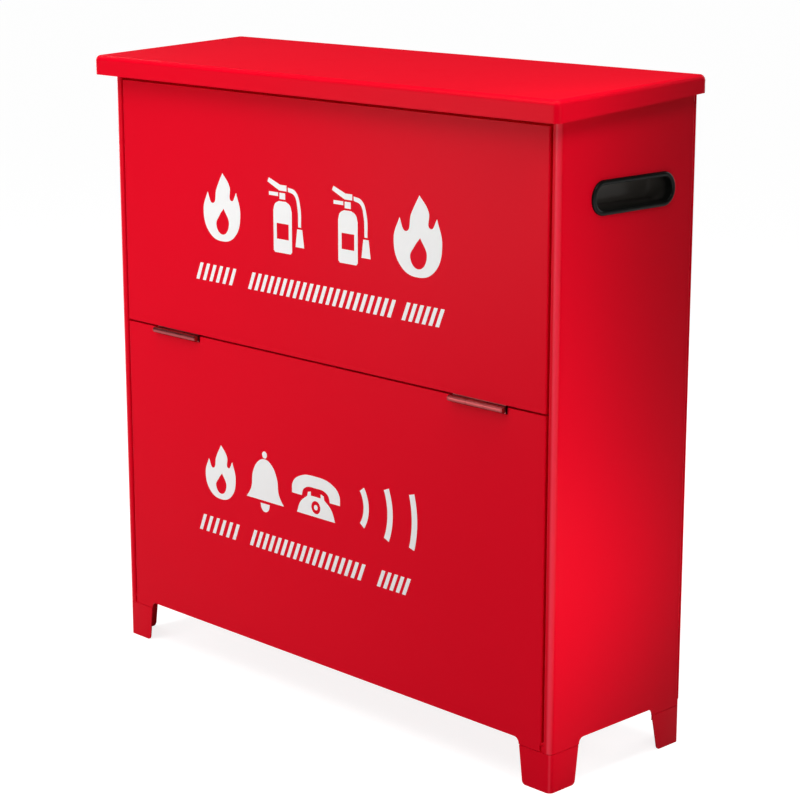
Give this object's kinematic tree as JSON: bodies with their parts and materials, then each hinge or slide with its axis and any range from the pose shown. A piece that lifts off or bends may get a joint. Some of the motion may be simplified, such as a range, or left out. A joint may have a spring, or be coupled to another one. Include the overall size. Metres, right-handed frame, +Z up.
{
  "type": "fire extinguisher cabinet",
  "caption": "Floor-standing sheet-steel fire extinguisher cabinet on corner feet, with a tip-back lid, a fold-down upper front and flush side handles.",
  "frame": {"origin": "on the floor, below the middle of the box from the lid's front edge to the back of the lid hinges", "axes": "+X to the cabinet's right side as seen from the front, the front faces -Y, +Z up"},
  "size_m": [0.624, 0.1996, 0.6197],
  "materials": {
    "red_paint": "semi-gloss red powder coat on folded steel sheet",
    "black_plastic": "black moulded plastic, slightly glossy rim",
    "hinge_steel": "plain rolled steel hinge strip with a thin overspray of red"
  },
  "bodies": {
    "cabinet": {"left_side": "red_paint", "right_side": "red_paint", "back_panel": "red_paint", "floor_pan": "red_paint", "lower_front": "red_paint", "front_top_rail": "red_paint", "foot_front_left": "red_paint", "foot_front_right": "red_paint", "foot_rear_left": "red_paint", "foot_rear_right": "red_paint", "handle_left": "black_plastic", "handle_right": "black_plastic", "sill_leaf_left": "hinge_steel", "sill_leaf_right": "hinge_steel", "back_leaf_left": "hinge_steel", "back_leaf_right": "hinge_steel", "door_pin_left": "hinge_steel", "door_pin_right": "hinge_steel", "lid_pin_left": "hinge_steel", "lid_pin_right": "hinge_steel"},
    "front_door": {"front_door": "red_paint", "door_leaf_left": "hinge_steel", "door_leaf_right": "hinge_steel"},
    "lid": {"lid": "red_paint", "lid_leaf_left": "hinge_steel", "lid_leaf_right": "hinge_steel"}
  },
  "joints": [
    {"name": "front_door_hinge", "type": "hinge", "parent": "cabinet", "child": "front_door", "pos_m": [0, -0.0854, 0.3385], "axis": [1, 0, 0], "range_deg": [0, 180]},
    {"name": "lid_hinge", "type": "hinge", "parent": "cabinet", "child": "lid", "pos_m": [0, 0.097, 0.6035], "axis": [-1, 0, 0], "range_deg": [0, 100]}
  ]
}
